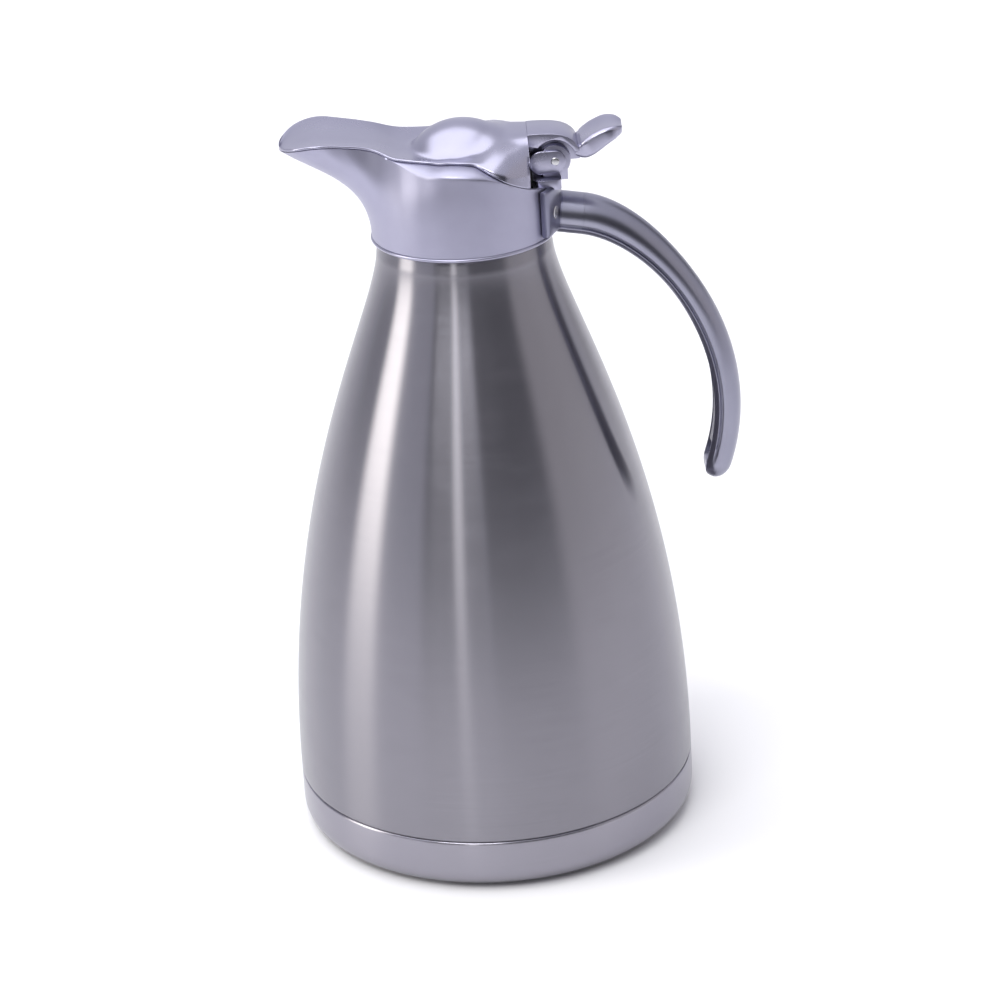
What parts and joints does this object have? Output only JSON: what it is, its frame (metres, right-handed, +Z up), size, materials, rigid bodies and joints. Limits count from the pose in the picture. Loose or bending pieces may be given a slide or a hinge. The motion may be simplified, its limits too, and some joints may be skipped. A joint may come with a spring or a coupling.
{
  "type": "vacuum coffee jug",
  "caption": "Double-walled vacuum coffee jug with a duckbill spout, a hinged lever lid that carries the stopper, and an open curved handle.",
  "frame": {"origin": "centre of the foot, on the surface the jug stands on", "axes": "+Z up along the body, -X towards the spout, +X towards the handle, +Y to the side"},
  "size_m": [0.1732, 0.15, 0.2733],
  "materials": {
    "brushed_shell": "brushed round the body",
    "liner_steel": "satin, drawn",
    "plain_steel": "mill finish",
    "screw_steel": "plain zinc",
    "chrome": "polished chrome plating",
    "handle_strip": "satin grey",
    "grey_plastic": "moulded, fine grain",
    "rubber": "matt",
    "silicone": "translucent white silicone",
    "foam": "foamed",
    "foil": "bright foil",
    "copper": "plain copper",
    "getter_grey": "sintered tablet"
  },
  "bodies": {
    "jug": {"outer_shell": "brushed_shell", "base_cup": "brushed_shell", "base_pad": "rubber", "vacuum_bottom": "plain_steel", "seal_tip": "copper", "tip_guard": "plain_steel", "getter": "getter_grey", "foil_wrap": "foil", "inner_liner": "liner_steel", "neck_gasket": "silicone", "neck_ring": "grey_plastic", "collar_trim_ring": "chrome", "spout_collar": "chrome", "hinge_bracket": "chrome", "bracket_screws": "screw_steel", "hinge_bushes": "grey_plastic", "hinge_pin": "screw_steel", "pin_caps": "chrome", "handle_shell": "chrome", "handle_insert": "handle_strip", "handle_core": "plain_steel", "handle_screws": "screw_steel"},
    "lid": {"lid_cover": "chrome", "lid_base": "grey_plastic", "lid_knuckle": "chrome", "lid_screws": "screw_steel", "dome_foam": "foam", "stopper_body": "grey_plastic", "stopper_foam": "foam", "stopper_seal": "silicone", "stopper_screws": "screw_steel", "thumb_lever": "chrome", "lever_screws": "screw_steel"}
  },
  "joints": [
    {"name": "lid_hinge", "type": "hinge", "parent": "jug", "child": "lid", "pos_m": [0.034, 0, 0.2585], "axis": [0, 1, 0], "range_deg": [0, 55]}
  ]
}
